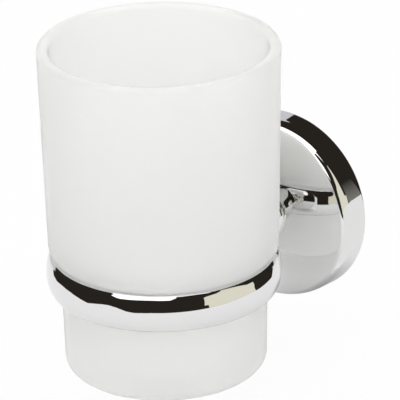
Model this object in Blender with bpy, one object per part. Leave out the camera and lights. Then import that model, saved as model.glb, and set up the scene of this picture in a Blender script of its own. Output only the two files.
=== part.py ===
# Wall-mounted toothbrush holder: a frosted glass tumbler that hangs by its shoulder in a chrome ring,
# carried by a waisted neck on a round rose, with the concealed fixings that hold the rose to the wall.
#
# Metres. The origin is the middle of the rose on the wall plane. +Y goes into the wall, +Z is up.

import math

import bmesh
import bpy
from mathutils import Matrix

MM = 0.001

# Fits
SEAT_GAP = 0.3 * MM  # between pieces that rest on each other
SCREW_CLEARANCE = 0.3 * MM  # round a screw or a tenon in its hole
GLASS_CLEARANCE = 0.5 * MM  # round the tumbler in the ring

# Rose, the round cup that covers the fixings
ROSE_RADIUS = 27.5 * MM  # at the wall
ROSE_TAPER = 0.3 * MM  # radius lost from the wall to where the side starts to curve in
ROSE_DEPTH = 12.3 * MM  # at the flat seat in the middle, on which the neck stands
ROSE_CROWN_RADIUS = 100.0 * MM  # sphere of the crowned face
ROSE_EDGE_ACROSS = 2.1 * MM  # elliptical rounding from the side to the face
ROSE_EDGE_ALONG = 4.5 * MM
ROSE_WALL = 3.0 * MM
ROSE_FACE_THICKNESS = 4.7 * MM  # under the neck
ROSE_INNER_ROUNDING = 1.0 * MM

# Wall bracket, the cast disc inside the rose
BRACKET_HEADROOM = 1.6 * MM  # from its front to the inside of the rose's face
BRACKET_LAND = 0.6 * MM  # full-width rim in front of the undercut
BRACKET_FOOT = 1.4 * MM  # straight foot behind the undercut
BRACKET_FLOOR = 3.0 * MM  # metal left under the wall screws' heads
BRACKET_POCKET_MARGIN = 1.8 * MM  # round the neck screw's head
BRACKET_POCKET_DEPTH_MARGIN = 0.7 * MM  # behind the neck screw's head
SLOT_OFFSET = 13.5 * MM  # middle of each slot from the rose's axis
SLOT_LENGTH = 8.0 * MM
WALL_SCREW_RADIUS = 2.0 * MM  # the wall screws that the slots take
WALL_SCREW_HEAD_RADIUS = 4.0 * MM
HEAD_CLEARANCE = 0.6 * MM  # round those screws' heads

# Tumbler
TUMBLER_HEIGHT = 96.7 * MM
TUMBLER_LOWER_RADIUS = 29.2 * MM  # outside, inside the ring
LOWER_TAPER = 0.7 * MM  # radius lost from the ring to the base corner
SHOULDER_STEP = 3.2 * MM  # how far the shoulder stands out over the lower part
UPPER_TAPER = 1.4 * MM  # radius gained from the shoulder to the lip
SHOULDER_ROUNDING = 3.9 * MM
SHOULDER_HEIGHT = 34.4 * MM  # from the base to the line that sits on the ring
BASE_ROUNDING = 4.4 * MM
GLASS_WALL = 3.3 * MM
GLASS_BASE = 6.0 * MM
LIP_ROUNDING = 1.55 * MM
INNER_BASE_ROUNDING = 6.0 * MM
FOOT_WIDTH = 4.0 * MM  # the flat ring that it stands on
PUNT_DEPTH = 1.2 * MM  # hollow under the base

# Ring that the tumbler hangs in
RING_THICKNESS = 3.4 * MM
RING_HEIGHT = 10.6 * MM
RING_BULGE_POWER = 2.2  # 2 is an ellipse, more is squarer
RING_INNER_ROUNDING = 0.6 * MM

# Neck
NECK_REACH = 14.6 * MM  # from the rose's seat to the outside of the ring
NECK_FOOT_RADIUS = 8.0 * MM
NECK_FOOT_EDGE = 0.4 * MM
NECK_FLARE_LENGTH = 3.0 * MM
NECK_TAPER = 1.3 * MM  # radius lost from the flare to the ring
NECK_END_RADIUS = 5.2 * MM  # at the ring
TENON_RADIUS = 3.0 * MM
TENON_COVER = 0.9 * MM  # metal left between the tenon's hole and the glass

# Neck screw and washer
NECK_SCREW_RADIUS = 2.5 * MM
NECK_SCREW_LENGTH = 12.0 * MM
NECK_SCREW_HEAD_RADIUS = 4.5 * MM
NECK_SCREW_HEAD_HEIGHT = 2.3 * MM
NECK_SCREW_SOCKET_RADIUS = 1.7 * MM
NECK_SCREW_SOCKET_DEPTH = 1.3 * MM
NECK_BORE_SPARE = 1.2 * MM  # bore past the end of the screw
WASHER_RADIUS = 4.4 * MM
WASHER_THICKNESS = 1.0 * MM
WASHER_SPLIT = 0.9 * MM

# Grub screw
GRUB_RADIUS = 2.0 * MM
GRUB_SINK = 0.4 * MM  # its end below the rose's side
GRUB_BELOW_LAND = 1.7 * MM  # its axis behind the bracket's full-width rim
GRUB_SOCKET_RADIUS = 1.15 * MM
GRUB_SOCKET_DEPTH = 1.5 * MM

# Fineness
BIG_STEPS = 60
SMALL_STEPS = 20

# Worked out from the sizes above
ROSE_SHOULDER_RADIUS = ROSE_RADIUS - ROSE_TAPER
ROSE_INNER_RADIUS = ROSE_RADIUS - ROSE_WALL
ROSE_INNER_DEPTH = ROSE_DEPTH - ROSE_FACE_THICKNESS
WASHER_TOP = ROSE_INNER_DEPTH - SEAT_GAP
NECK_HEAD_TOP = WASHER_TOP - WASHER_THICKNESS - SEAT_GAP
NECK_HEAD_CROWN = NECK_HEAD_TOP - NECK_SCREW_HEAD_HEIGHT
BRACKET_RADIUS = ROSE_INNER_RADIUS - SEAT_GAP
BRACKET_THICKNESS = ROSE_INNER_DEPTH - BRACKET_HEADROOM
UNDERCUT_TOP = BRACKET_THICKNESS - BRACKET_LAND
GRUB_HEIGHT = UNDERCUT_TOP - GRUB_BELOW_LAND
TUMBLER_WAIST_RADIUS = TUMBLER_LOWER_RADIUS + SHOULDER_STEP
TUMBLER_LIP_RADIUS = TUMBLER_WAIST_RADIUS + UPPER_TAPER
TUMBLER_BASE_RADIUS = TUMBLER_LOWER_RADIUS - LOWER_TAPER
RING_INNER_RADIUS = TUMBLER_LOWER_RADIUS + GLASS_CLEARANCE
RING_RADIUS = RING_INNER_RADIUS + RING_THICKNESS
RING_TOP = RING_HEIGHT / 2
WALL_TO_AXIS = ROSE_DEPTH + NECK_REACH + RING_RADIUS
SEAT_LINE = RING_TOP + SEAT_GAP
TUMBLER_BASE = SEAT_LINE - SHOULDER_HEIGHT
TUMBLER_TOP = TUMBLER_BASE + TUMBLER_HEIGHT
NECK_START = ROSE_DEPTH + SEAT_GAP
RING_FRONT = ROSE_DEPTH + NECK_REACH  # the side of the ring that faces the wall, from the wall
TENON_HOLE_END = RING_FRONT + RING_THICKNESS - TENON_COVER

# Turns a piece modelled along its own +Z so that +Z points away from the wall
AWAY_FROM_WALL = (math.radians(90), 0, 0)


def clear_scene():
    for thing in list(bpy.data.objects):
        bpy.data.objects.remove(thing, do_unlink=True)


def make_material(name, colour, roughness, metallic):
    material = bpy.data.materials.new(name)
    material.use_nodes = True
    shader = material.node_tree.nodes["Principled BSDF"]
    shader.inputs["Base Color"].default_value = (*colour, 1)
    shader.inputs["Roughness"].default_value = roughness
    shader.inputs["Metallic"].default_value = metallic
    material.diffuse_color = (*colour, 1)
    return material


def arc(centre_r, centre_z, radius, start, end, steps):
    """Points of a circular arc in the profile plane, angles in degrees."""
    angles = [math.radians(start + (end - start) * i / steps) for i in range(steps + 1)]
    return [(centre_r + radius * math.cos(a), centre_z + radius * math.sin(a)) for a in angles]


def quarter_ellipse(corner_r, corner_z, across, along, steps):
    """Concave flare from (corner_r + across, corner_z) to (corner_r, corner_z + along)."""
    angles = [math.radians(90 * i / steps) for i in range(steps + 1)]
    return [
        (corner_r + across * (1 - math.sin(a)), corner_z + along * (1 - math.cos(a)))
        for a in angles
    ]


def turn(bm, profile, steps, closed=False):
    """Spin a profile of (radius, height) points round Z. A closed profile makes a ring."""
    verts = [bm.verts.new((r, 0, z)) for r, z in profile]
    pairs = list(zip(verts, verts[1:]))
    if closed:
        pairs.append((verts[-1], verts[0]))
    edges = [bm.edges.new(pair) for pair in pairs]
    bmesh.ops.spin(
        bm,
        geom=verts + edges,
        axis=(0, 0, 1),
        cent=(0, 0, 0),
        angle=2 * math.pi,
        steps=steps,
    )
    bmesh.ops.remove_doubles(bm, verts=bm.verts, dist=0.001 * MM)
    bmesh.ops.recalc_face_normals(bm, faces=bm.faces)


def add_object(name, bm, material=None, location=(0, 0, 0), rotation=(0, 0, 0)):
    mesh = bpy.data.meshes.new(name)
    bm.to_mesh(mesh)
    bm.free()
    thing = bpy.data.objects.new(name, mesh)
    thing.location = location
    thing.rotation_euler = rotation
    bpy.context.collection.objects.link(thing)
    if material:
        mesh.materials.append(material)
        mesh.shade_smooth()
        mesh.set_sharp_from_angle(angle=math.radians(35))
    return thing


def turned(name, profile, steps, material=None, closed=False, **place):
    bm = bmesh.new()
    turn(bm, profile, steps, closed)
    return add_object(name, bm, material, **place)


def boolean(target, cutter, operation="DIFFERENCE"):
    """Cut the target with a cutter, or join the cutter to it, and keep the cutter as a guide."""
    cutter.hide_render = True
    cutter.display_type = "WIRE"
    modifier = target.modifiers.new(cutter.name, "BOOLEAN")
    modifier.operation = operation
    modifier.solver = "EXACT"
    modifier.object = cutter


def rod(name, radius, start, end, steps=SMALL_STEPS, turn_by=0.0, **place):
    """A plain cylinder along its own Z from start to end, used as a cutter or a tenon."""
    bm = bmesh.new()
    middle = Matrix.Translation((0, 0, (start + end) / 2))
    bmesh.ops.create_cone(
        bm,
        cap_ends=True,
        segments=steps,
        radius1=radius,
        radius2=radius,
        depth=end - start,
        matrix=middle @ Matrix.Rotation(turn_by, 4, "Z"),
    )
    return add_object(name, bm, **place)


def slot_cutter(name, radius, length, start, end, upright, **place):
    """A round-ended slot of the given half width, extruded along its own Z."""
    half = max(length / 2 - radius, 0)
    steps = SMALL_STEPS // 2
    right = arc(half, 0, radius, -90, 90, steps)
    left = arc(-half, 0, radius, 90, 270, steps)
    outline = right + left
    if upright:
        outline = [(-y, x) for x, y in outline]
    bm = bmesh.new()
    bottom = bm.faces.new([bm.verts.new((x, y, start)) for x, y in outline])
    top = bmesh.ops.extrude_face_region(bm, geom=[bottom])
    raised = [v for v in top["geom"] if isinstance(v, bmesh.types.BMVert)]
    bmesh.ops.translate(bm, verts=raised, vec=(0, 0, end - start))
    bmesh.ops.recalc_face_normals(bm, faces=bm.faces)
    return add_object(name, bm, **place)


def box_cutter(name, low, high, **place):
    bm = bmesh.new()
    size = [h - l for l, h in zip(low, high)]
    middle = [(h + l) / 2 for l, h in zip(low, high)]
    matrix = Matrix.Translation(middle) @ Matrix.Diagonal((*size, 1))
    bmesh.ops.create_cube(bm, size=1, matrix=matrix)
    return add_object(name, bm, **place)


def ring_section(grow=0.0):
    """Section of the ring: straight inside with rounded edges, bulged superellipse outside."""
    inner = RING_INNER_RADIUS - grow
    bulge_start = RING_INNER_RADIUS + RING_INNER_ROUNDING
    reach = RING_RADIUS - bulge_start + grow
    top = RING_TOP + grow
    rounding = RING_INNER_ROUNDING + grow
    power = 2 / RING_BULGE_POWER
    steps = 18
    outside = []
    for i in range(steps + 1):
        a = math.radians(-90 + 180 * i / steps)
        radius = bulge_start + reach * abs(math.cos(a)) ** power
        height = math.copysign(top * abs(math.sin(a)) ** power, a)
        outside.append((radius, height))
    top_edge = arc(inner + rounding, top - rounding, rounding, 90, 180, 3)[1:]
    bottom_edge = arc(inner + rounding, rounding - top, rounding, 180, 270, 3)[:-1]
    return outside + top_edge + bottom_edge


def shoulder_arc():
    """The shoulder's arc, set so that the glass clears the ring's top by the seat gap."""
    centre_r = TUMBLER_WAIST_RADIUS - SHOULDER_ROUNDING
    seat_out = max(RING_INNER_RADIUS + RING_INNER_ROUNDING - centre_r, 0)
    centre_z = SEAT_LINE + math.sqrt(SHOULDER_ROUNDING**2 - seat_out**2)
    start_out = max(TUMBLER_LOWER_RADIUS - centre_r, 0)
    start = -math.degrees(math.acos(start_out / SHOULDER_ROUNDING))
    points = arc(centre_r, centre_z, SHOULDER_ROUNDING, start, 0, 7)
    if centre_r > TUMBLER_LOWER_RADIUS:
        points = [(TUMBLER_LOWER_RADIUS, centre_z - SHOULDER_ROUNDING)] + points
    return points, centre_z


def tumbler_profile():
    """Half outline of the glass from the middle of its base, up the outside, over the lip and down."""
    foot = TUMBLER_BASE_RADIUS - BASE_ROUNDING
    punt_radius = foot - FOOT_WIDTH
    punt_steps = 4
    punt = [
        (punt_radius * i / punt_steps, TUMBLER_BASE + PUNT_DEPTH * (1 - (i / punt_steps) ** 2))
        for i in range(punt_steps + 1)
    ]
    corner = arc(foot, TUMBLER_BASE + BASE_ROUNDING, BASE_ROUNDING, -90, 0, 6)
    shoulder, shoulder_z = shoulder_arc()
    rounding = min(LIP_ROUNDING, GLASS_WALL / 2.1)
    lip_z = TUMBLER_TOP - rounding
    lip_out = arc(TUMBLER_LIP_RADIUS - rounding, lip_z, rounding, 0, 90, 4)
    inner_lip = TUMBLER_LIP_RADIUS - GLASS_WALL
    lip_in = arc(inner_lip + rounding, lip_z, rounding, 90, 180, 4)
    upper_in = TUMBLER_WAIST_RADIUS - GLASS_WALL
    lower_in = TUMBLER_LOWER_RADIUS - GLASS_WALL
    step_top = shoulder_z + SHOULDER_ROUNDING
    step_bottom = SEAT_LINE - SHOULDER_ROUNDING
    inside_steps = 7
    inside = []
    for i in range(inside_steps + 1):
        t = i / inside_steps
        blend = t * t * (3 - 2 * t)
        radius = upper_in + (lower_in - upper_in) * blend
        inside.append((radius, step_top + (step_bottom - step_top) * t))
    floor_z = TUMBLER_BASE + GLASS_BASE
    floor_r = TUMBLER_BASE_RADIUS - GLASS_WALL - INNER_BASE_ROUNDING
    inner_corner = arc(floor_r, floor_z + INNER_BASE_ROUNDING, INNER_BASE_ROUNDING, 0, -90, 5)
    return punt + corner + shoulder + lip_out + lip_in + inside + inner_corner + [(0, floor_z)]


def make_tumbler(material):
    place = (0, -WALL_TO_AXIS, 0)
    return turned("tumbler", tumbler_profile(), BIG_STEPS, material, location=place)


def make_ring(material):
    place = (0, -WALL_TO_AXIS, 0)
    ring = turned("holder_ring", ring_section(), BIG_STEPS, material, closed=True, location=place)
    hole = rod(
        "cut_ring_tenon_hole",
        TENON_RADIUS + SCREW_CLEARANCE,
        RING_FRONT - RING_THICKNESS,
        TENON_HOLE_END,
        rotation=AWAY_FROM_WALL,
    )
    boolean(ring, hole)
    return ring


def make_neck(material):
    """Tapered post: flared foot on the rose, end cut to the ring, and a tenon into the ring."""
    flare_z = NECK_START + NECK_FOOT_EDGE
    flare_length = min(NECK_FLARE_LENGTH, (RING_FRONT - flare_z) / 2)
    body = NECK_END_RADIUS + NECK_TAPER
    flare = quarter_ellipse(body, flare_z, NECK_FOOT_RADIUS - body, flare_length, 8)
    bore = NECK_SCREW_RADIUS + SCREW_CLEARANCE
    bore_end = NECK_HEAD_TOP + NECK_SCREW_LENGTH + NECK_BORE_SPARE
    past_ring = RING_FRONT + RING_THICKNESS
    profile = [(0, bore_end + bore / 2), (bore, bore_end), (bore, NECK_START)]
    profile += [(NECK_FOOT_RADIUS, NECK_START)] + flare
    profile += [(NECK_END_RADIUS, RING_FRONT), (NECK_END_RADIUS, past_ring), (0, past_ring)]
    neck = turned("neck", profile, BIG_STEPS // 2, material, rotation=AWAY_FROM_WALL)
    saddle = turned(
        "cut_neck_saddle",
        ring_section(SEAT_GAP),
        BIG_STEPS * 2,
        closed=True,
        location=(0, -WALL_TO_AXIS, 0),
    )
    boolean(neck, saddle)
    tenon = rod(
        "neck_tenon",
        TENON_RADIUS,
        RING_FRONT - TENON_RADIUS / 2,
        TENON_HOLE_END - SEAT_GAP,
        rotation=AWAY_FROM_WALL,
    )
    boolean(neck, tenon, "UNION")
    return neck


def crown_height(radius):
    """Height of the crowned face off the wall, which meets the neck's seat at the seat's edge."""
    sphere_middle = ROSE_DEPTH - math.sqrt(ROSE_CROWN_RADIUS**2 - NECK_FOOT_RADIUS**2)
    return sphere_middle + math.sqrt(ROSE_CROWN_RADIUS**2 - radius**2)


def rose_edge(steps):
    """Points of the edge ellipse from the side to where it has the crown's own slope."""
    middle_r = ROSE_SHOULDER_RADIUS - ROSE_EDGE_ACROSS
    end = math.pi / 2
    for _ in range(5):
        end_r = middle_r + ROSE_EDGE_ACROSS * math.cos(end)
        slope = math.tan(math.asin(end_r / ROSE_CROWN_RADIUS))
        end = math.atan2(ROSE_EDGE_ALONG, ROSE_EDGE_ACROSS * slope)
    middle_z = crown_height(end_r) - ROSE_EDGE_ALONG * math.sin(end)
    return [
        (middle_r + ROSE_EDGE_ACROSS * math.cos(a), middle_z + ROSE_EDGE_ALONG * math.sin(a))
        for a in (end * i / steps for i in range(steps + 1))
    ]


def make_rose(material):
    """Turned cup with a crowned face, a rounded edge, a screw hole and a grub screw hole below."""
    hole = NECK_SCREW_RADIUS + SCREW_CLEARANCE
    inner_r = ROSE_INNER_RADIUS - ROSE_INNER_ROUNDING
    inner_z = ROSE_INNER_DEPTH - ROSE_INNER_ROUNDING
    edge = rose_edge(10)
    face_steps = 6
    crown_reach = edge[-1][0] - NECK_FOOT_RADIUS
    crown = [edge[-1][0] - crown_reach * i / face_steps for i in range(1, face_steps + 1)]
    profile = [(ROSE_INNER_RADIUS, 0), (ROSE_RADIUS, 0)] + edge
    profile += [(r, crown_height(r)) for r in crown]
    profile += [(hole, ROSE_DEPTH), (hole, ROSE_INNER_DEPTH)]
    profile += arc(inner_r, inner_z, ROSE_INNER_ROUNDING, 90, 0, 3)
    rose = turned("rose", profile, BIG_STEPS, material, closed=True, rotation=AWAY_FROM_WALL)
    grub_hole = rod(
        "cut_rose_grub_hole",
        GRUB_RADIUS + SCREW_CLEARANCE,
        ROSE_INNER_RADIUS - ROSE_WALL,
        ROSE_RADIUS + ROSE_WALL,
        location=(0, -GRUB_HEIGHT, 0),
        rotation=(math.radians(180), 0, 0),
    )
    boolean(rose, grub_hole)
    return rose


def undercut_radius(height):
    """Radius of the bracket's 45 degree undercut edge at a height above the wall."""
    return BRACKET_RADIUS - (UNDERCUT_TOP - height)


def make_bracket(material):
    """Cast disc with an undercut edge, a pocket for the neck screw's head and two slots."""
    pocket = NECK_SCREW_HEAD_RADIUS + BRACKET_POCKET_MARGIN
    pocket_floor = NECK_HEAD_CROWN - BRACKET_POCKET_DEPTH_MARGIN
    foot = undercut_radius(BRACKET_FOOT)
    profile = [
        (0, 0),
        (foot, 0),
        (foot, BRACKET_FOOT),
        (BRACKET_RADIUS, UNDERCUT_TOP),
        (BRACKET_RADIUS, BRACKET_THICKNESS),
        (pocket, BRACKET_THICKNESS),
        (pocket, pocket_floor),
        (0, pocket_floor),
    ]
    bracket = turned("wall_bracket", profile, BIG_STEPS, material, rotation=AWAY_FROM_WALL)
    slot = WALL_SCREW_RADIUS + SCREW_CLEARANCE
    head = WALL_SCREW_HEAD_RADIUS + HEAD_CLEARANCE
    head_length = SLOT_LENGTH + 2 * (head - slot)
    for side, upright in ((-1, True), (1, False)):
        label = "left" if side < 0 else "right"
        place = {"location": (side * SLOT_OFFSET, 0, 0), "rotation": AWAY_FROM_WALL}
        through = slot_cutter(
            f"cut_slot_{label}", slot, SLOT_LENGTH, -BRACKET_FLOOR, BRACKET_THICKNESS, upright, **place
        )
        seat = slot_cutter(
            f"cut_head_{label}",
            head,
            head_length,
            BRACKET_FLOOR,
            BRACKET_THICKNESS + BRACKET_FLOOR,
            upright,
            **place,
        )
        boolean(bracket, through)
        boolean(bracket, seat)
    return bracket


def pan_head(radius, height, steps):
    """Outline of a pan head from its rim at height 0 to its crown."""
    return [(radius, 0)] + [
        (radius * math.cos(a), height * (0.35 + 0.65 * math.sin(a)))
        for a in (math.radians(90 * i / steps) for i in range(steps + 1))
    ]


def make_neck_screw(material):
    """Pan head screw, its head towards the wall and its shank in the neck."""
    profile = [(0, NECK_HEAD_TOP + NECK_SCREW_LENGTH)]
    chamfer = NECK_SCREW_RADIUS / 4
    profile.append((NECK_SCREW_RADIUS - chamfer, NECK_HEAD_TOP + NECK_SCREW_LENGTH))
    profile.append((NECK_SCREW_RADIUS, NECK_HEAD_TOP + NECK_SCREW_LENGTH - chamfer))
    profile.append((NECK_SCREW_RADIUS, NECK_HEAD_TOP))
    head = pan_head(NECK_SCREW_HEAD_RADIUS, NECK_SCREW_HEAD_HEIGHT, 4)
    profile += [(r, NECK_HEAD_TOP - z) for r, z in head]
    screw = turned("neck_screw", profile, SMALL_STEPS, material, rotation=AWAY_FROM_WALL)
    socket = rod(
        "cut_neck_screw_socket",
        NECK_SCREW_SOCKET_RADIUS,
        NECK_HEAD_CROWN - NECK_SCREW_SOCKET_DEPTH,
        NECK_HEAD_CROWN + NECK_SCREW_SOCKET_DEPTH,
        steps=6,
        rotation=AWAY_FROM_WALL,
    )
    boolean(screw, socket)
    return screw


def make_neck_washer(material):
    """Split spring washer between the neck screw's head and the rose."""
    bore = NECK_SCREW_RADIUS + SCREW_CLEARANCE
    bottom = WASHER_TOP - WASHER_THICKNESS
    profile = [(bore, bottom), (WASHER_RADIUS, bottom), (WASHER_RADIUS, WASHER_TOP), (bore, WASHER_TOP)]
    place = {"rotation": AWAY_FROM_WALL}
    washer = turned("neck_washer", profile, SMALL_STEPS, material, closed=True, **place)
    split = box_cutter(
        "cut_neck_washer_split",
        (0, -WASHER_SPLIT / 2, bottom - WASHER_THICKNESS),
        (WASHER_RADIUS * 2, WASHER_SPLIT / 2, WASHER_TOP + WASHER_THICKNESS),
        **place,
    )
    boolean(washer, split)
    return washer


def make_grub_screw(material):
    """Cone point set screw, its point against the bracket's undercut, its socket facing down."""
    tip = undercut_radius(GRUB_HEIGHT) + SEAT_GAP * math.sqrt(2)
    end = ROSE_SHOULDER_RADIUS - GRUB_SINK
    chamfer = GRUB_RADIUS / 5
    profile = [
        (0, tip),
        (GRUB_RADIUS, tip + GRUB_RADIUS),
        (GRUB_RADIUS, end - chamfer),
        (GRUB_RADIUS - chamfer, end),
        (0, end),
    ]
    place = {"location": (0, -GRUB_HEIGHT, 0), "rotation": (math.radians(180), 0, 0)}
    screw = turned("grub_screw", profile, SMALL_STEPS, material, **place)
    socket = rod(
        "cut_grub_socket",
        GRUB_SOCKET_RADIUS,
        end - GRUB_SOCKET_DEPTH,
        end + GRUB_SOCKET_DEPTH,
        steps=6,
        **place,
    )
    boolean(screw, socket)
    return screw


def main():
    clear_scene()
    glass = make_material("frosted_glass", (0.86, 0.88, 0.87), 0.55, 0.0)
    chrome = make_material("polished_chrome", (0.78, 0.78, 0.79), 0.04, 1.0)
    zinc = make_material("cast_zinc", (0.42, 0.43, 0.44), 0.45, 1.0)
    steel = make_material("plated_steel", (0.56, 0.56, 0.55), 0.3, 1.0)
    make_tumbler(glass)
    make_ring(chrome)
    make_neck(chrome)
    make_rose(chrome)
    make_bracket(zinc)
    make_neck_washer(steel)
    make_neck_screw(steel)
    make_grub_screw(steel)


main()
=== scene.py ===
import math

import bmesh
import bpy
import numpy as np
from mathutils import Matrix, Vector


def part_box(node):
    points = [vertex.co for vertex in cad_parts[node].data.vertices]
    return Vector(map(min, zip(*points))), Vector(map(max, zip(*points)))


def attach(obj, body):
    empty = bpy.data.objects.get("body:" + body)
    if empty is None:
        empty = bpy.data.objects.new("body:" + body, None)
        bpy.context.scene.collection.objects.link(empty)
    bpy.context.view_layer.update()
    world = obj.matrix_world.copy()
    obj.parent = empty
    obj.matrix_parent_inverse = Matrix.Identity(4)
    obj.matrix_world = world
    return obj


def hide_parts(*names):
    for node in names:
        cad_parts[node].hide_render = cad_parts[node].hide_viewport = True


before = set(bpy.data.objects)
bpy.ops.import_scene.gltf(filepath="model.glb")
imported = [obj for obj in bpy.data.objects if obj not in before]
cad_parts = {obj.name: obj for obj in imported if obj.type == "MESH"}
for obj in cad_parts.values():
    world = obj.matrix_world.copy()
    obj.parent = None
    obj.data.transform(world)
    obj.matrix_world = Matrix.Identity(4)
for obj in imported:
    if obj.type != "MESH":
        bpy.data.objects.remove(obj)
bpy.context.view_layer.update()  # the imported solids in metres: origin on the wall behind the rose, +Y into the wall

mm = 0.001
print("frame loaded:", ", ".join(sorted(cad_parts)))

# Places read from the frame
tumblerLow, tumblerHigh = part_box("tumbler")
ringLow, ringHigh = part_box("holder_ring")
roseLow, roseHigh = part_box("rose")
axisY = (tumblerLow.y + tumblerHigh.y) / 2  # the tumbler and its ring stand on this upright axis
lipRadius = (tumblerHigh.x - tumblerLow.x) / 2
ringRadius = (ringHigh.x - ringLow.x) / 2
roseRadius = (roseHigh.x - roseLow.x) / 2
roseDepth = -roseLow.y
upright = Matrix.Translation((0, axisY, 0))  # for pieces on the tumbler's axis
offTheWall = Matrix.Rotation(math.radians(90), 4, "X")  # for pieces on the rose's axis, height off the wall

# Shared by the pieces
stepsRound = {"tumbler": 224, "ring": 256, "neck": 128, "rose": 256, "grubHole": 48}
samePoint = 0.0001 * mm  # points of an outline that are closer than this are one
mergeWithin = 0.002 * mm  # points of a cut or copied mesh that are closer than this are one
flatWithin = math.radians(0.5)  # neighbouring faces that turn less than this are one flat face
sharpFrom = math.radians(35)  # an edge that turns more than this is sharp


# Surfaces


# a dictionary of sizes in mm as one in metres
def inMetres(sizes):
    return {key: value * mm for key, value in sizes.items()}


# points of a circular arc in the (radius, height) plane, angles in degrees
def arcPoints(centreR, centreZ, radius, start, end, count):
    angle = np.radians(np.linspace(start, end, count))
    return np.stack([centreR + radius * np.cos(angle), centreZ + radius * np.sin(angle)], 1)


# points of a straight stretch, crowded towards both ends so that a mirror surface shades evenly there
def straight(start, end, count):
    share = 0.5 - 0.5 * np.cos(np.pi * np.linspace(0, 1, count))
    return np.outer(1 - share, start) + np.outer(share, end)


# one outline from several stretches, without the second copy of the points where two of them meet
def joinStretches(stretches):
    points = np.concatenate([np.asarray(s, float).reshape(-1, 2) for s in stretches])
    step = np.linalg.norm(np.diff(points, axis=0), axis=1)
    return points[np.concatenate([[True], step > samePoint])]


# an object with the given mesh, camera or light, put into the scene
def newObject(name, data):
    thing = bpy.data.objects.new(name, data)
    bpy.context.scene.collection.objects.link(thing)
    return thing


# a grid of points (rows, columns, 3) as one mesh piece: each cell is a face, the last column meets the
# first, the last row meets the first if the outline is closed, and a row on the axis is one point
def gridPiece(name, grid, closedRows=False):
    rows, columns = grid.shape[:2]
    index = np.arange(rows * columns).reshape(rows, columns)
    onePoint = np.ptp(grid, axis=1).max(axis=1) < samePoint
    index[onePoint] = index[onePoint][:, :1]
    below = index if closedRows else index[:-1]
    above = np.roll(index, -1, axis=0) if closedRows else index[1:]
    quads = np.stack([below, np.roll(below, -1, 1), np.roll(above, -1, 1), above], -1).reshape(-1, 4)
    points = grid.reshape(-1, 3)
    a, b, c, d = (points[quads[:, i]] for i in range(4))
    if (np.cross(c - a, d - b) * (a + b + c + d)).sum() < 0:  # the volume's sign, so faces point outwards
        quads = quads[:, ::-1]
    used, flat = np.unique(quads, return_inverse=True)
    faces = [tuple(dict.fromkeys(q)) for q in flat.reshape(-1, 4).tolist()]
    mesh = bpy.data.meshes.new(name)
    mesh.from_pydata(points[used].tolist(), [], [f for f in faces if len(f) > 2])
    mesh.shade_smooth()
    return newObject(name, mesh)


# a profile of (radius, height) carried round an axis: x = r cos t, y = r sin t, z = h, then placed
def turnedPiece(name, profile, steps, place, closed=False):
    turn = np.linspace(0, 2 * np.pi, steps, endpoint=False)
    radius, height = profile[:, :1], profile[:, 1:]
    grid = np.stack([radius * np.cos(turn), radius * np.sin(turn), height + 0 * turn], -1)
    placing = np.array(place)
    return gridPiece(name, grid @ placing[:3, :3].T + placing[:3, 3], closed)


# Tumbler: sizes in mm that the frame doesn't give
tumblerSizes = {
    "lowerRadius": 29.2,  # just under the shoulder
    "baseRadius": 28.5,
    "waistRadius": 32.4,  # just over the shoulder
    "shoulderRounding": 3.9,
    "wall": 3.3,
    "base": 6.0,
    "lipRounding": 1.55,
    "baseRounding": 4.4,
    "insideRounding": 6.0,
    "footWidth": 4.0,  # flat that it stands on, round the hollow under the base
    "hollowDepth": 1.2,
    "seatRadius": 30.3,  # where the shoulder hangs over the ring's inner edge
    "seatGap": 0.55,  # height of the shoulder over the ring's edge there
}


# the outline starts in the middle of the hollow under the base, a parabola. Arcs and straight lines take
# it round the foot, up the side, round the shoulder, over the lip, down inside and over the floor to the
# axis. The shoulder's arc passes through the seat, so its middle lies the root of rounding^2 - across^2
# above it. Inside, the step at the shoulder eases by 3 t^2 - 2 t^3 from one radius to the other
def tumblerOutline():
    s = inMetres(tumblerSizes)
    low = tumblerLow.z
    foot = s["baseRadius"] - s["baseRounding"]
    share = np.linspace(0, 1, 16)
    hollow = np.stack([(foot - s["footWidth"]) * share, low + s["hollowDepth"] * (1 - share**2)], 1)
    footEdge = arcPoints(foot, low + s["baseRounding"], s["baseRounding"], -90, 0, 20)
    rounding = s["shoulderRounding"]
    shoulderR = s["waistRadius"] - rounding
    seatZ = ringHigh.z + s["seatGap"]
    shoulderZ = seatZ + math.sqrt(rounding**2 - (s["seatRadius"] - shoulderR) ** 2)
    start = -math.degrees(math.acos((s["lowerRadius"] - shoulderR) / rounding))
    shoulder = arcPoints(shoulderR, shoulderZ, rounding, start, 0, 24)
    lip = s["lipRounding"]
    lipZ = tumblerHigh.z - lip
    lipOut = arcPoints(lipRadius - lip, lipZ, lip, 0, 90, 12)
    lipIn = arcPoints(lipRadius - s["wall"] + lip, lipZ, lip, 90, 180, 12)
    share = np.linspace(0, 1, 24)
    ease = share * share * (3 - 2 * share)
    stepR = s["waistRadius"] - s["wall"] + (s["lowerRadius"] - s["waistRadius"]) * ease
    stepTop, stepLow = shoulderZ + rounding, seatZ - rounding
    innerStep = np.stack([stepR, stepTop + (stepLow - stepTop) * share], 1)
    insideZ = low + s["base"]
    insideR = s["baseRadius"] - s["wall"] - s["insideRounding"]
    insideEdge = arcPoints(insideR, insideZ + s["insideRounding"], s["insideRounding"], 0, -90, 16)
    return joinStretches([
        hollow, straight(hollow[-1], footEdge[0], 4), footEdge, straight(footEdge[-1], shoulder[0], 12),
        shoulder, straight(shoulder[-1], lipOut[0], 24), lipOut, lipIn,
        straight(lipIn[-1], innerStep[0], 24), innerStep, straight(innerStep[-1], insideEdge[0], 12),
        insideEdge, straight(insideEdge[-1], (0, insideZ), 8),
    ])


# the outline turned round the upright axis
def makeTumbler():
    return turnedPiece("frostedTumbler", tumblerOutline(), stepsRound["tumbler"], upright)


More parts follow.
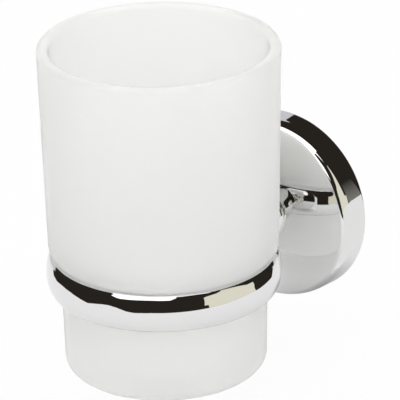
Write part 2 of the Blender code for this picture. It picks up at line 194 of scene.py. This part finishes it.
# Ring: a straight inside with rounded edges and a bulged outside, sizes in mm
ringSizes = {
    "inside": 29.7,
    "topEdge": 1.75,  # rounding under the tumbler's shoulder
    "lowEdge": 0.6,
    "crest": 0.8,  # the polished bulge stands this much above the plain edge
}
bulgeTop = ringHigh.z + ringSizes["crest"] * mm
bulgeMiddle = (bulgeTop + ringLow.z) / 2


# how far the outside stands from the axis at a level from -1, its lowest, to 1, its highest: a quarter
# ellipse below and another above, which meet where the ring is widest and start at the rounded edges
def bulgeRadius(level):
    s = inMetres(ringSizes)
    start = s["inside"] + np.where(level > 0, s["topEdge"], s["lowEdge"])
    return start + (ringRadius - start) * np.sqrt(1 - level**2)


# the bulge from its foot to its crest, a quarter circle over the top edge, the straight inside, and a
# quarter circle round the low edge
def ringOutline():
    s = inMetres(ringSizes)
    level = np.sin(np.radians(np.linspace(-90, 90, 97)))
    bulge = np.stack([bulgeRadius(level), bulgeMiddle + (bulgeTop - bulgeMiddle) * level], 1)
    topEdge = arcPoints(s["inside"] + s["topEdge"], bulgeTop - s["topEdge"], s["topEdge"], 90, 180, 16)
    lowEdge = arcPoints(s["inside"] + s["lowEdge"], ringLow.z + s["lowEdge"], s["lowEdge"], 180, 270, 10)
    return joinStretches([bulge, topEdge, straight(topEdge[-1], lowEdge[0], 6), lowEdge[:-1]])


# the outline turned round the upright axis
def makeRing():
    return turnedPiece("chromeRing", ringOutline(), stepsRound["ring"], upright, closed=True)


# Neck: a flared foot on the rose's seat and a tapered body up to the ring, sizes in mm
neckSizes = {
    "foot": 8.0,  # radius on the rose
    "footEdge": 0.6,  # height of its straight edge
    "flare": 3.0,  # height over which it narrows
    "body": 6.5,  # radius where the flare ends
    "end": 5.2,  # radius at the ring
    "tip": 1.5,  # how far its closed end reaches into the ring
}
bentRows = 6  # rows of points that bend to the ring's shape


# the neck's radius is a function of its height: a quarter ellipse, then a straight taper. Its last rows
# run to the ring's bulge, where x and z are the neck's and y is the root of bulge radius^2 - x^2
def makeNeck():
    s = inMetres(neckSizes)
    turn = np.linspace(0, 2 * np.pi, stepsRound["neck"], endpoint=False)
    angle = np.linspace(0, np.pi / 2, 32)
    flareR = s["body"] + (s["foot"] - s["body"]) * (1 - np.sin(angle))
    flare = np.stack([flareR, roseDepth + s["footEdge"] + s["flare"] * (1 - np.cos(angle))], 1)
    edge = (s["foot"], roseDepth)
    outline = joinStretches([straight((0, roseDepth), edge, 10), straight(edge, flare[0], 4), flare])
    radius, height = outline[:, :1], outline[:, 1:]
    foot = np.stack([radius * np.cos(turn), -height + 0 * turn, radius * np.sin(turn)], -1)
    share = np.linspace(0, 1, 32)[:, None]
    taper = s["body"] + (s["end"] - s["body"]) * share
    x, z = taper * np.cos(turn), taper * np.sin(turn)
    level = np.clip((z - bulgeMiddle) / (bulgeTop - bulgeMiddle), -1, 1)
    onRing = axisY + np.sqrt(bulgeRadius(level) ** 2 - x**2)
    widest = axisY + ringRadius
    y = (widest + flare[-1, 1]) * share - flare[-1, 1] + 0 * x
    bend = np.linspace(0, 1, bentRows + 1)[1:, None] ** 2
    y[-bentRows:] += (onRing - widest)[-bentRows:] * bend
    body = np.stack([x, y, z], -1)[1:]
    tip = np.broadcast_to((0, widest - s["tip"], 0), (1, len(turn), 3))
    return gridPiece("chromeNeck", np.concatenate([foot, body, tip]))


# Rose: a turned cup with a crowned face, sizes in mm
roseSizes = {
    "taper": 0.3,
    "crownRadius": 100.0,
    "seat": 8.0,  # radius of the flat seat under the neck
    "edgeAcross": 2.1,  # the elliptical edge, across the face and along the axis
    "edgeAlong": 4.5,
    "wall": 3.0,
    "face": 4.7,  # thickness under the neck
    "insideRounding": 1.0,
    "screwHole": 2.8,
    "rimBreak": 0.25,  # rounding where the rim meets the wall
}


# the visible outside: an elliptical edge up to where the ellipse has the crown's slope, and then the
# crown, a sphere whose height grows towards the seat
def roseFront():
    s = inMetres(roseSizes)
    sphere, seat = s["crownRadius"], s["seat"]
    middle = roseDepth - math.sqrt(sphere**2 - seat**2)
    edgeMiddle = roseRadius - s["taper"] - s["edgeAcross"]
    end = math.pi / 2
    for _ in range(6):  # each round brings the slopes of edge and crown closer to each other
        endRadius = edgeMiddle + s["edgeAcross"] * math.cos(end)
        slope = math.tan(math.asin(endRadius / sphere))
        end = math.atan2(s["edgeAlong"], s["edgeAcross"] * slope)
    edgeHeight = middle + math.sqrt(sphere**2 - endRadius**2) - s["edgeAlong"] * math.sin(end)
    angle = np.linspace(0, end, 48)
    edgeR = edgeMiddle + s["edgeAcross"] * np.cos(angle)
    edge = np.stack([edgeR, edgeHeight + s["edgeAlong"] * np.sin(angle)], 1)
    across = straight((endRadius, 0), (seat, 0), 48)[:, 0]
    crown = np.stack([across, middle + np.sqrt(sphere**2 - across**2)], 1)
    return edge, crown


# the outline goes along the rim, up the outside, over the front, down through the screw hole and back
# over the inside, and is turned round the rose's axis
def makeRose():
    s = inMetres(roseSizes)
    edge, crown = roseFront()
    inside, hole = roseRadius - s["wall"], s["screwHole"]
    insideDepth = roseDepth - s["face"]
    rounding = s["insideRounding"]
    insideEdge = arcPoints(inside - rounding, insideDepth - rounding, rounding, 90, 0, 12)
    rim = arcPoints(roseRadius - s["rimBreak"], s["rimBreak"], s["rimBreak"], -90, 0, 5)
    outline = joinStretches([
        straight((inside, 0), rim[0], 4), rim, straight(rim[-1], edge[0], 8), edge, crown,
        straight(crown[-1], (hole, roseDepth), 8), straight((hole, roseDepth), (hole, insideDepth), 4),
        straight((hole, insideDepth), insideEdge[0], 16), insideEdge,
        straight(insideEdge[-1], (inside, 0), 8)[:-1],
    ])
    return turnedPiece("chromeRose", outline, stepsRound["rose"], offTheWall, closed=True)


# Grub screw hole through the rose's lower wall, sizes in mm
grubHole = {
    "radius": 2.3,
    "fromWall": 3.7,
    "countersink": 0.25,
    "inwards": 4.0,  # reach of the cutter from the rose's side
    "outwards": 1.0,
}


# points at one place become one, and so do flat faces side by side if asked
def mergePoints(shape, flatToo=False):
    work = bmesh.new()
    work.from_mesh(shape)
    bmesh.ops.remove_doubles(work, verts=work.verts, dist=mergeWithin)
    if flatToo:
        bmesh.ops.dissolve_limit(work, angle_limit=flatWithin, verts=work.verts, edges=work.edges)
    work.to_mesh(shape)
    work.free()


# a round cutter on the grub screw's axis is taken from the rose. It widens by 45 degrees where it leaves
# the rose, so that the hole's edge is broken
def cutGrubHole(rose):
    s = inMetres(grubHole)
    low, high = roseRadius - s["inwards"], roseRadius + s["outwards"]
    breakFrom = roseRadius - s["countersink"]
    wide = s["radius"] + high - breakFrom
    profile = np.array([(0, low), (s["radius"], low), (s["radius"], breakFrom), (wide, high), (0, high)])
    downwards = Matrix.Translation((0, -s["fromWall"], 0)) @ Matrix.Rotation(math.pi, 4, "X")
    cutter = turnedPiece("grubCutter", profile, stepsRound["grubHole"], downwards)
    cut = rose.modifiers.new("grubHole", "BOOLEAN")
    cut.operation = "DIFFERENCE"
    cut.solver = "EXACT"
    cut.object = cutter
    bpy.context.view_layer.update()
    evaluated = rose.evaluated_get(bpy.context.evaluated_depsgraph_get())
    shape = bpy.data.meshes.new_from_object(evaluated)
    shape.name = rose.name
    mergePoints(shape)
    rose.modifiers.clear()
    rose.data = shape
    shape.set_sharp_from_angle(angle=sharpFrom)
    bpy.data.objects.remove(cutter)


# Wall bracket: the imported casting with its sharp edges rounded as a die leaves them
bracketSizes = {"edge": 0.35, "edgeSteps": 3}  # rounding in mm, and its faces


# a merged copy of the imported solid. Flat faces become one, a rounding runs along every sharp edge, and
# the flat faces beside the roundings still look flat
def makeBracket():
    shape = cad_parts["wall_bracket"].data.copy()
    shape.name = "castBracket"
    shape.materials.clear()
    mergePoints(shape, flatToo=True)
    shape.shade_smooth()
    piece = newObject("castBracket", shape)
    rounding = piece.modifiers.new("dieEdges", "BEVEL")
    rounding.width = bracketSizes["edge"] * mm
    rounding.segments = bracketSizes["edgeSteps"]
    rounding.limit_method = "ANGLE"
    rounding.angle_limit = sharpFrom
    piece.modifiers.new("flatFaces", "WEIGHTED_NORMAL")
    return piece


# Camera, fitted to the photograph: angles in degrees, lengths in mm
cameraSizes = {
    "azimuth": 36.706,
    "elevation": 23.322,
    "roll": -1.272,
    "distance": 1256.712,
    "right": 9.959,
    "up": 19.064,
    "aim": (0, -59.862, 0.377),
    "lens": 402.6,
    "sensor": 36.0,
    "nearest": 10.0,  # nothing nearer is drawn
}


# it stands at the aim, plus the distance along the direction of azimuth and elevation, plus the steps to
# its right and up, and looks back along that direction
def makeCamera():
    s = cameraSizes
    azimuth, elevation, roll = (math.radians(s[key]) for key in ("azimuth", "elevation", "roll"))
    back = Vector((
        math.sin(azimuth) * math.cos(elevation),
        -math.cos(azimuth) * math.cos(elevation),
        math.sin(elevation),
    ))
    level = Vector((math.cos(azimuth), math.sin(azimuth), 0))
    above = back.cross(level)
    right = level * math.cos(roll) + above * math.sin(roll)
    up = above * math.cos(roll) - level * math.sin(roll)
    place = (Vector(s["aim"]) + s["distance"] * back + s["right"] * right + s["up"] * up) * mm
    data = bpy.data.cameras.new("camera")
    data.lens = s["lens"]
    data.sensor_width = s["sensor"]
    data.clip_start = s["nearest"] * mm
    camera = newObject("camera", data)
    turning = Matrix((right, up, back)).transposed().to_4x4()
    camera.matrix_world = Matrix.Translation(place) @ turning
    bpy.context.scene.camera = camera


# Materials


# an sRGB hex colour as linear numbers
def linear(hexColour):
    part = np.array([int(hexColour[i:i + 2], 16) for i in (1, 3, 5)]) / 255
    return tuple(np.where(part <= 0.04045, part / 12.92, ((part + 0.055) / 1.055) ** 2.4)) + (1.0,)


# adds a node: inputs by name or number take a value or the output socket that feeds them
def addNode(tree, kind, inputs=None, **settings):
    node = tree.nodes.new(kind)
    for key, value in settings.items():
        setattr(node, key, value)
    for key, value in (inputs or {}).items():
        if isinstance(value, bpy.types.NodeSocket):
            tree.links.new(value, node.inputs[key])
        else:
            node.inputs[key].default_value = value
    return node


# a material with its node tree and shader
def newMaterial(name):
    material = bpy.data.materials.new(name)
    material.use_nodes = True
    tree = material.node_tree
    return material, tree, tree.nodes["Principled BSDF"]


# a noise pattern with features of about the given size in mm, on the piece's own coordinates
def grain(tree, size, detail=2.0, roughness=0.5):
    place = addNode(tree, "ShaderNodeTexCoord").outputs["Object"]
    inputs = {"Vector": place, "Scale": 1 / (size * mm), "Detail": detail, "Roughness": roughness}
    return addNode(tree, "ShaderNodeTexNoise", inputs).outputs["Fac"]


# feeds a socket from a pattern: the first value where the pattern is at start, the second where it is at
# end, and even steps between
def vary(tree, pattern, between, socket, start=0.3, end=0.7):
    inputs = {0: pattern, 1: start, 2: end, 3: between[0], 4: between[1]}
    tree.links.new(addNode(tree, "ShaderNodeMapRange", inputs).outputs[0], socket)


# raises the shader's surface by a pattern, up to a height in mm
def raiseSurface(tree, shader, pattern, height, strength=1.0):
    inputs = {"Height": pattern, "Distance": height * mm, "Strength": strength}
    bump = addNode(tree, "ShaderNodeBump", inputs)
    tree.links.new(bump.outputs["Normal"], shader.inputs["Normal"])


chromeLook = {
    "colour": "#E9E9E8",
    "roughness": (0.012, 0.035),  # the clean mirror, and where fine wiping marks gather
    "wipeSize": 7.0,  # mm between patches of wiping marks
    "waveSize": 9.0,  # mm from crest to crest of the polish's slow waves
    "waveHeight": 0.004,  # mm
}


# Bright nickel and chrome plate over polished brass: a near perfect mirror whose buffed surface still
# rolls a little, so straight edges in it bend, with faint patches dulled by wiping
def makeChrome():
    material, tree, shader = newMaterial("buffedChromePlate")
    look = chromeLook
    shader.inputs["Base Color"].default_value = linear(look["colour"])
    shader.inputs["Metallic"].default_value = 1.0
    patches = grain(tree, look["wipeSize"], detail=4.0, roughness=0.6)
    vary(tree, patches, look["roughness"], shader.inputs["Roughness"])
    raiseSurface(tree, shader, grain(tree, look["waveSize"], detail=0.0), look["waveHeight"])
    return material


glassLook = {
    "colour": "#FFFFFE",
    "through": 0.6,  # share of light that passes the frosted wall
    "index": 1.38,  # clear glass has about 1.5: lower here, matched to how brightly the wall passes light
    "roughness": (0.58, 0.66),
    "etchSize": 0.35,  # mm: the etched grain is finer, about 0.05 mm, and is drawn coarser so that it shows
    "etchHeight": 0.01,  # mm
    "etchStrength": 0.5,
}


# Acid-etched soda-lime glass: a white satin skin that scatters light through the wall, no clear view
def makeGlass():
    material, tree, shader = newMaterial("acidEtchedGlass")
    look = glassLook
    shader.inputs["Base Color"].default_value = linear(look["colour"])
    shader.inputs["IOR"].default_value = look["index"]
    shader.inputs["Transmission Weight"].default_value = look["through"]
    etch = grain(tree, look["etchSize"], detail=1.0)
    vary(tree, etch, look["roughness"], shader.inputs["Roughness"])
    raiseSurface(tree, shader, etch, look["etchHeight"], look["etchStrength"])
    return material


# a bare metal whose colour and roughness drift together over one grain, from a look
def grainyMetal(name, look):
    material, tree, shader = newMaterial(name)
    shader.inputs["Metallic"].default_value = 1.0
    skin = grain(tree, look["grainSize"], look["grainDetail"])
    colours = {6: linear(look["dark"]), 7: linear(look["light"])}
    mix = addNode(tree, "ShaderNodeMix", colours, data_type="RGBA")
    vary(tree, skin, (0.0, 1.0), mix.inputs[0])
    tree.links.new(mix.outputs[2], shader.inputs["Base Color"])
    vary(tree, skin, look["roughness"], shader.inputs["Roughness"])
    return material, tree, shader, skin


zincLook = {
    "light": "#A7A9AA",
    "dark": "#8B8D8F",
    "roughness": (0.36, 0.5),
    "grainSize": 0.8,  # mm
    "grainDetail": 3.0,
    "grainHeight": 0.02,  # mm
}


# Die cast zinc left as cast: a dull grey metal with a fine orange peel
def makeZinc():
    material, tree, shader, skin = grainyMetal("dieCastZinc", zincLook)
    raiseSurface(tree, shader, skin, zincLook["grainHeight"])
    return material


steelLook = {
    "light": "#C9CBCB",
    "dark": "#AEB0AE",
    "roughness": (0.19, 0.29),
    "grainSize": 0.5,  # mm
    "grainDetail": 2.0,
}


# Zinc plated steel: a bright, slightly mottled metal, smooth from the cold forming under it
def makeSteel():
    return grainyMetal("zincPlatedSteel", steelLook)[0]


# Studio: a pale floor, a white surround, and round the object a dark tent with openings. Chrome looks
# like what stands round it, so the tent, the cards and the softbox give it its black and cream bands.
# Angles are in degrees and lengths in mm. An azimuth is seen from the ring's middle: 0 is towards the
# wall and 90 to the right.


# a stage piece that only mirrors see: it takes no part in the lighting and hides nothing
def onlyInMirrors(piece):
    piece.visible_camera = False
    piece.visible_diffuse = False
    piece.visible_transmission = False
    piece.visible_volume_scatter = False
    piece.visible_shadow = False


# the node tree of a new material or world, emptied
def emptyTree(holder):
    holder.use_nodes = True
    holder.node_tree.nodes.clear()
    return holder.node_tree


# a material that shines evenly with one colour
def glowing(name, colour, strength=1.0):
    material = bpy.data.materials.new(name)
    tree = emptyTree(material)
    glow = addNode(tree, "ShaderNodeEmission", {"Color": linear(colour), "Strength": strength})
    addNode(tree, "ShaderNodeOutputMaterial", {"Surface": glow.outputs[0]})
    return material


# an open grid of points as a stage piece: each cell is a face
def openSheet(name, grid, material):
    rows, columns = grid.shape[:2]
    index = np.arange(rows * columns).reshape(rows, columns)
    quads = np.stack([index[:-1, :-1], index[:-1, 1:], index[1:, 1:], index[1:, :-1]], -1).reshape(-1, 4)
    mesh = bpy.data.meshes.new(name)
    mesh.from_pydata(grid.reshape(-1, 3).tolist(), [], quads.tolist())
    mesh.materials.append(material)
    piece = newObject(name, mesh)
    return piece


# points at an azimuth, a distance from the ring's axis and a height
def around(azimuth, distance, height):
    turn = np.radians(azimuth)
    x, y = distance * np.sin(turn), axisY + distance * np.cos(turn)
    return np.stack(np.broadcast_arrays(x, y, height), -1)


# rings of points round a middle, all at its height
def disc(radii, middle, steps):
    turn = np.linspace(0, 2 * np.pi, steps)
    radius = np.array(radii)[:, None]
    return np.stack([radius * np.cos(turn), radius * np.sin(turn), 0 * radius * turn], -1) + middle


# how much of the plain white background a ray sees: the sum of the shares given for the kinds of ray that
# it is, and 1 at most
def seesBackground(tree, camera=1.0, mirror=1.0, glass=1.0):
    path = addNode(tree, "ShaderNodeLightPath").outputs
    total = 0.0
    for kind, share in (("Is Camera Ray", camera), ("Is Glossy Ray", mirror), ("Is Transmission Ray", glass)):
        part = {0: path[kind], 1: share, 2: total}
        total = addNode(tree, "ShaderNodeMath", part, operation="MULTIPLY_ADD").outputs[0]
    return addNode(tree, "ShaderNodeMath", {0: total, 1: 1.0}, operation="MINIMUM").outputs[0]


floorLook = {
    "gap": 14.0,  # below the tumbler's base
    "radii": (0.0, 300.0, 1000.0, 4000.0),  # of its rings of points
    "colour": "#F4F4F5",
    "white": {"camera": 0.93, "mirror": 0.0, "glass": 1.0},  # share of plain white that each sees in it
}
floorZ = tumblerLow.z - floorLook["gap"] * mm
white = linear("#FFFFFF")


# the floor glows white to the camera and still takes a faint shadow near the object
def makeFloor():
    material = bpy.data.materials.new("paleFloor")
    tree = emptyTree(material)
    paint = addNode(tree, "ShaderNodeBsdfDiffuse", {"Color": linear(floorLook["colour"])})
    glow = addNode(tree, "ShaderNodeEmission", {"Color": white, "Strength": 1.0})
    share = seesBackground(tree, **floorLook["white"])
    mix = addNode(tree, "ShaderNodeMixShader", {0: share, 1: paint.outputs[0], 2: glow.outputs[0]})
    addNode(tree, "ShaderNodeOutputMaterial", {"Surface": mix.outputs[0]})
    openSheet("floor", disc(np.array(floorLook["radii"]) * mm, (0, axisY, floorZ), 97), material)


surroundStrength = 0.97  # of the white surround as a light


# the world is plain white to camera, mirrors and glass, and lights the object a little less brightly
def makeSurround():
    world = bpy.data.worlds.new("whiteSurround")
    tree = emptyTree(world)
    seen = addNode(tree, "ShaderNodeBackground", {"Color": white, "Strength": 1.0}).outputs[0]
    light = addNode(tree, "ShaderNodeBackground", {"Color": white, "Strength": surroundStrength}).outputs[0]
    mix = addNode(tree, "ShaderNodeMixShader", {0: seesBackground(tree), 1: light, 2: seen})
    addNode(tree, "ShaderNodeOutputWorld", {"Surface": mix.outputs[0]})
    bpy.context.scene.world = world


tentSizes = {
    "radius": 900.0,
    "height": 900.0,
    "colour": "#2A2622",
    "archMiddle": -38.0,  # azimuth of the opening towards the backdrop
    "archHalf": 51.0,
    "archTop": 36.0,
    # where the black cloth ends on the floor: azimuth, and degrees below the horizon seen from the ring
    "foot": (
        (18, 6), (27, 18), (50, 17.8), (61, 16.2), (84, 16.5), (104, 17), (155, 17.5), (170, 19.4),
        (177, 18.2), (186, 13.9), (194, 12.1), (201, 13.6), (215, 19.6), (224, 18), (237, 15.6),
        (251, 15), (260, 16.5), (268, 14.6), (274, 6),
    ),
    "seenFrom": 2.0,  # height on the ring's side that the foot's angles are seen from
    "aboveFloor": 0.2,
}


# distance from the ring's axis at which the black cloth on the floor ends: the ring's radius plus the
# drop from its side to the floor over the tangent of the foot's angle
def clothEdge(azimuth):
    knots, angles = np.array(tentSizes["foot"], float).T
    slope = np.tan(np.radians(np.interp(azimuth, knots, angles)))
    return ringRadius + (tentSizes["seenFrom"] * mm - floorZ) / slope


# an upright wall with an elliptical arch cut out of its foot, a flat roof, and black cloth on the floor
# from the wall in to the cloth's edge
def makeTent():
    s = tentSizes
    dark = glowing("blackCloth", s["colour"])
    azimuth = np.linspace(-180, 180, 361)
    radius, top = s["radius"] * mm, s["height"] * mm
    fromArch = (azimuth - s["archMiddle"]) / s["archHalf"]
    arch = s["archTop"] * np.sqrt(np.clip(1 - fromArch**2, 0, None))
    level = math.degrees(math.atan(floorZ / radius))
    lowEdge = radius * np.tan(np.radians(level + arch * (1 - level / s["archTop"])))
    share = np.linspace(0, 1, 24)[:, None]
    wall = around(azimuth, radius, lowEdge + (top - lowEdge) * share)
    roofShare = np.linspace(0, 1, 12)[1:, None]
    roof = around(azimuth, radius * (1 - roofShare), top)
    onlyInMirrors(openSheet("tent", np.concatenate([wall, roof]), dark))
    near = np.linspace(s["foot"][0][0], s["foot"][-1][0], 240)
    start = np.minimum(clothEdge(near), radius)
    share = np.linspace(0, 1, 4)[:, None]
    cloth = around(near, start + (radius - start) * share, floorZ + s["aboveFloor"] * mm)
    onlyInMirrors(openSheet("tentFoot", cloth, dark))


# Painted reflection: a cream glow that only mirrors see
windowSizes = {
    "distance": 270.0,
    "top": (  # azimuth, height of the card's cut top
        (53.5, -42), (54, 38), (62, 45), (67, 100), (71, 185), (76, 275), (79, 265), (84, 185), (93, 114),
        (101, 94), (105, 80), (107.6, 62),
    ),
    "floor": (53.5, 104.0),  # azimuths of the patch of floor in front of it
    "aboveFloor": 0.4,
    "colour": "#E6E3D2",
    "glow": 1.06,
}


# a painted reflection of a cream light to the right, seen only in mirrors: a glowing cream card, upright from the
# floor to its cut top, and a glowing cream patch of floor from the card in to the black cloth's edge
def makeWindow():
    s = windowSizes
    cream = glowing("paintedCreamReflection", s["colour"], s["glow"])
    distance, low = s["distance"] * mm, floorZ + s["aboveFloor"] * mm
    share = np.linspace(0, 1, 6)[:, None]
    knots, heights = np.array(s["top"], float).T
    azimuth = np.linspace(knots[0], knots[-1], 60)
    high = np.maximum(np.interp(azimuth, knots, heights) * mm, low)
    card = around(azimuth, distance, low + (high - low) * share)
    onlyInMirrors(openSheet("creamCard", card, cream))
    azimuth = np.linspace(*s["floor"], 60)
    start = clothEdge(azimuth)
    patch = around(azimuth, start + (distance - start) * share, low)
    onlyInMirrors(openSheet("creamFoot", patch, cream))


backdropSizes = {
    "behindTent": 1.02,  # its distance as a multiple of the tent's radius
    "sideMargin": 6.0,  # how far it runs on past the tent's arch, in degrees
    "topMargin": 4.0,
    "colour": "#E4E3E8",
    "glow": 0.85,
}


# an upright paper behind the tent's arch, wider and higher than the arch by its margins
def makeBackdrop():
    s, tent = backdropSizes, tentSizes
    radius = tent["radius"] * mm
    half = tent["archHalf"] + s["sideMargin"]
    azimuth = np.linspace(tent["archMiddle"] - half, tent["archMiddle"] + half, 40)
    high = radius * math.tan(math.radians(tent["archTop"] + s["topMargin"]))
    share = np.linspace(0, 1, 6)[:, None]
    sheet = around(azimuth, s["behindTent"] * radius, floorZ + (high - floorZ) * share)
    onlyInMirrors(openSheet("backdrop", sheet, glowing("backdropPaper", s["colour"], s["glow"])))


# Painted reflection on the rose's rim: glowing sheets that only mirrors see
rimGlowSizes = {
    # bent round the rose's lower right side: x, y, height of its top edge
    "bends": ((27.6, 0.6, 7.9), (28.2, 0.6, 7.7), (28.2, -5, 7.1), (28.2, -7.5, 6.4), (28.2, -9.6, 5.2)),
    "colour": "#FFFFFF",
    "glow": 0.9,
    "fadeBends": 3,  # the fading painted glow stands over the white sheet's first bends
    "fadeHeight": 7.0,
    "fadeColour": "#FFFBF0",
    "fadeGlow": (0.22, 0.02),  # at its foot and at its top
}


# a painted reflection: the rose's rim shows a white glow beside it, upright from the floor, and over it a fainter
# painted glow that fades evenly with height. Only mirrors see them
def makeRimGlow():
    s = rimGlowSizes
    x, y, top = np.array(s["bends"]).T * mm
    share = np.linspace(0, 1, 4)[:, None]
    rimGlow = np.stack(np.broadcast_arrays(x, y, floorZ + (top - floorZ) * share), -1)
    onlyInMirrors(openSheet("paintedRimReflection", rimGlow, glowing("paintedRimReflection", s["colour"], s["glow"])))
    x, y, low = (values[:s["fadeBends"]] for values in (x, y, top))
    height = s["fadeHeight"] * mm
    glowFade = np.stack(np.broadcast_arrays(x, y, low + height * share), -1)
    faint = glowing("paintedRimGlowFade", s["fadeColour"])
    tree = faint.node_tree
    place = addNode(tree, "ShaderNodeTexCoord").outputs["Object"]
    upwards = addNode(tree, "ShaderNodeSeparateXYZ", {0: place}).outputs["Z"]
    foot = low[1]  # it fades from the height of the white sheet's second bend
    vary(tree, upwards, s["fadeGlow"], tree.nodes["Emission"].inputs["Strength"], foot, foot + height)
    onlyInMirrors(openSheet("paintedRimGlowFade", glowFade, faint))


# Painted shadow: the floor's shade under the rose, as the rim's mirror shows it
paintedShadowSizes = {
    "middle": (13.0, 0.0, -29.5),  # under the rose
    "radii": (0.0, 12.0, 24.0),  # of its rings of points
    "cover": 0.55,  # share of what lies behind that the painted shadow hides in its middle
    "colour": "#1A1816",
}


# a painted shadow under the rose: a dark level sheet, seen only in mirrors, that stands in for the floor's shade
# there and hides less and less towards its edge by 3 t^2 - 2 t^3
def makePaintedShadow():
    s = paintedShadowSizes
    shadowPaint = glowing("paintedRoseShadow", s["colour"])
    tree = shadowPaint.node_tree
    middle = np.array(s["middle"]) * mm
    place = addNode(tree, "ShaderNodeTexCoord").outputs["Object"]
    far = addNode(tree, "ShaderNodeVectorMath", {0: place, 1: middle}, operation="DISTANCE").outputs["Value"]
    fading = {0: far, 1: 0.0, 2: s["radii"][-1] * mm, 3: s["cover"], 4: 0.0}
    cover = addNode(tree, "ShaderNodeMapRange", fading, interpolation_type="SMOOTHSTEP").outputs[0]
    clear = addNode(tree, "ShaderNodeBsdfTransparent").outputs[0]
    mix = addNode(tree, "ShaderNodeMixShader", {0: cover, 1: clear, 2: tree.nodes["Emission"].outputs[0]})
    tree.links.new(mix.outputs[0], tree.nodes["Material Output"].inputs["Surface"])
    onlyInMirrors(openSheet("paintedRoseShadow", disc(np.array(s["radii"]) * mm, middle, 49), shadowPaint))


softboxSizes = {
    "height": 330.0,
    "x": (-200.0, 165.0),
    "y": (-300.0, 66.0),
    # outline of the painted highlight that mirrors see in the lamp's place: y, its two ends in x, z. The last rows
    # hang lower
    "cloth": (
        (38, -125, 165, 330), (-26, -125, 165, 330), (-44, -125, 285, 330), (-64, -125, 200, 330),
        (-78, -125, 169, 330), (-140, -125, 170, 330), (-183, -125, 161, 330), (-270, -130, 245, 330),
        (-340, -130, 320, 330), (-436, -130, 391, 330), (-392, -95, 305, 167), (-444, -95, 250, 167),
        (-458, -95, 178, 167), (-520, -92, 120, 167), (-617, -88, 49, 167), (-694, -80, -63, 167),
    ),
    "watts": 0.17,
    "colour": "#FFFFFF",
    "glow": 1.7,
}


# the lamp lights the object at a plain level. Mirrors don't see the lamp, but a painted highlight in its place: a
# card that glows at a strength of its own
def makeSoftbox():
    s = softboxSizes
    (x0, x1), (y0, y1) = s["x"], s["y"]
    light = bpy.data.lights.new("softbox", "AREA")
    light.shape = "RECTANGLE"
    light.size = (x1 - x0) * mm
    light.size_y = (y1 - y0) * mm
    light.energy = s["watts"]
    lamp = newObject("softbox", light)
    lamp.location = ((x0 + x1) / 2 * mm, (y0 + y1) / 2 * mm, s["height"] * mm)
    lamp.visible_glossy = False
    front = np.array([[(x, y, z) for x in ends] for y, *ends, z in s["cloth"]]) * mm
    onlyInMirrors(openSheet("softboxFront", front, glowing("softboxHighlight", s["colour"], s["glow"])))


tumbler = makeTumbler()
ring = makeRing()
neck = makeNeck()
rose = makeRose()
cutGrubHole(rose)
bracket = makeBracket()
print("pieces made")

chrome = makeChrome()
glass = makeGlass()
zinc = makeZinc()
steel = makeSteel()
for piece, node, body, material, slot in (
    (tumbler, "tumbler", "tumbler", glass, "frosted_glass"),
    (ring, "holder_ring", "holder", chrome, "polished_chrome"),
    (neck, "neck", "holder", chrome, "polished_chrome"),
    (rose, "rose", "holder", chrome, "polished_chrome"),
    (bracket, "wall_bracket", "holder", zinc, "cast_zinc"),
):
    piece.data.materials.append(material)
    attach(piece, body)
    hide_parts(node)
for node in ("neck_washer", "neck_screw", "grub_screw"):
    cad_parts[node].material_slots[0].material = steel
print("materials made")

makeFloor()
makeSurround()
makeTent()
makeWindow()
makeBackdrop()
makeRimGlow()
makePaintedShadow()
makeSoftbox()
makeCamera()
bpy.context.scene.view_settings.view_transform = "Standard"
print("studio made")
